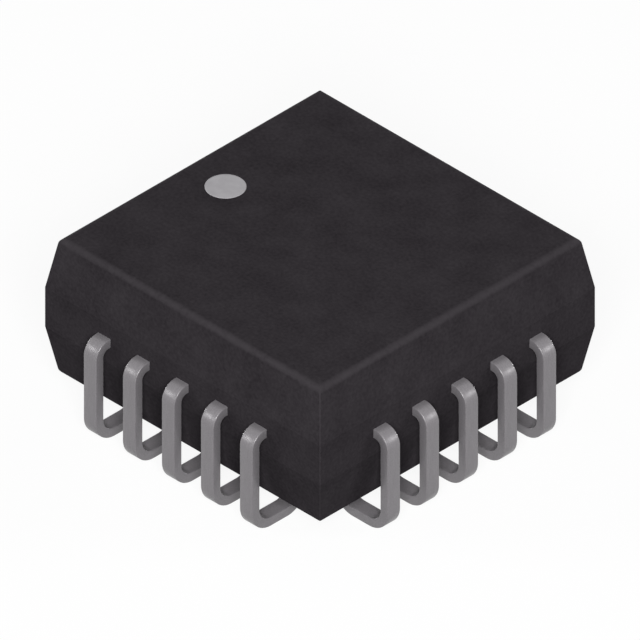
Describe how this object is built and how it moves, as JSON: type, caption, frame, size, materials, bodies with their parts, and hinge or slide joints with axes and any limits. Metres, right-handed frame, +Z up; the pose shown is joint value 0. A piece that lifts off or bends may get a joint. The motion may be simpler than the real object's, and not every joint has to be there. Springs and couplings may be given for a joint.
{
  "type": "plcc chip",
  "caption": "Square black moulded chip package with J-shaped tinned leads along every side and a light dot by the first lead, soldered to a board or held in a socket.",
  "frame": {"origin": "middle of the package on the plane of the solder lands, under the feet of the leads", "axes": "+Z up through the top of the moulding; the dot and lead 1 are on the side that faces -X; +X and +Y are square to the sides"},
  "size_m": [0.01, 0.01, 0.0046],
  "materials": {
    "mold_compound": "fine matt texture of a moulded, silica-filled black epoxy",
    "tin_plated_lead": "satin grey of matt tin plating on copper alloy",
    "bare_copper_alloy": "rolled copper alloy",
    "silver_filled_adhesive": "cured grey paste",
    "silicon": "polished dark grey",
    "gold_wire": "bright drawn gold",
    "marking_ink": "flat light grey print"
  },
  "bodies": {
    "root": {"molded_body": "mold_compound", "lead_01": "tin_plated_lead", "lead_02": "tin_plated_lead", "lead_03": "tin_plated_lead", "lead_04": "tin_plated_lead", "lead_05": "tin_plated_lead", "lead_06": "tin_plated_lead", "lead_07": "tin_plated_lead", "lead_08": "tin_plated_lead", "lead_09": "tin_plated_lead", "lead_10": "tin_plated_lead", "lead_11": "tin_plated_lead", "lead_12": "tin_plated_lead", "lead_13": "tin_plated_lead", "lead_14": "tin_plated_lead", "lead_15": "tin_plated_lead", "lead_16": "tin_plated_lead", "lead_17": "tin_plated_lead", "lead_18": "tin_plated_lead", "lead_19": "tin_plated_lead", "lead_20": "tin_plated_lead", "die_paddle": "bare_copper_alloy", "die_attach": "silver_filled_adhesive", "silicon_die": "silicon", "bond_wire_01": "gold_wire", "bond_wire_02": "gold_wire", "bond_wire_03": "gold_wire", "bond_wire_04": "gold_wire", "bond_wire_05": "gold_wire", "bond_wire_06": "gold_wire", "bond_wire_07": "gold_wire", "bond_wire_08": "gold_wire", "bond_wire_09": "gold_wire", "bond_wire_10": "gold_wire", "bond_wire_11": "gold_wire", "bond_wire_12": "gold_wire", "bond_wire_13": "gold_wire", "bond_wire_14": "gold_wire", "bond_wire_15": "gold_wire", "bond_wire_16": "gold_wire", "bond_wire_17": "gold_wire", "bond_wire_18": "gold_wire", "bond_wire_19": "gold_wire", "bond_wire_20": "gold_wire", "pin1_dot": "marking_ink"}
  },
  "joints": []
}
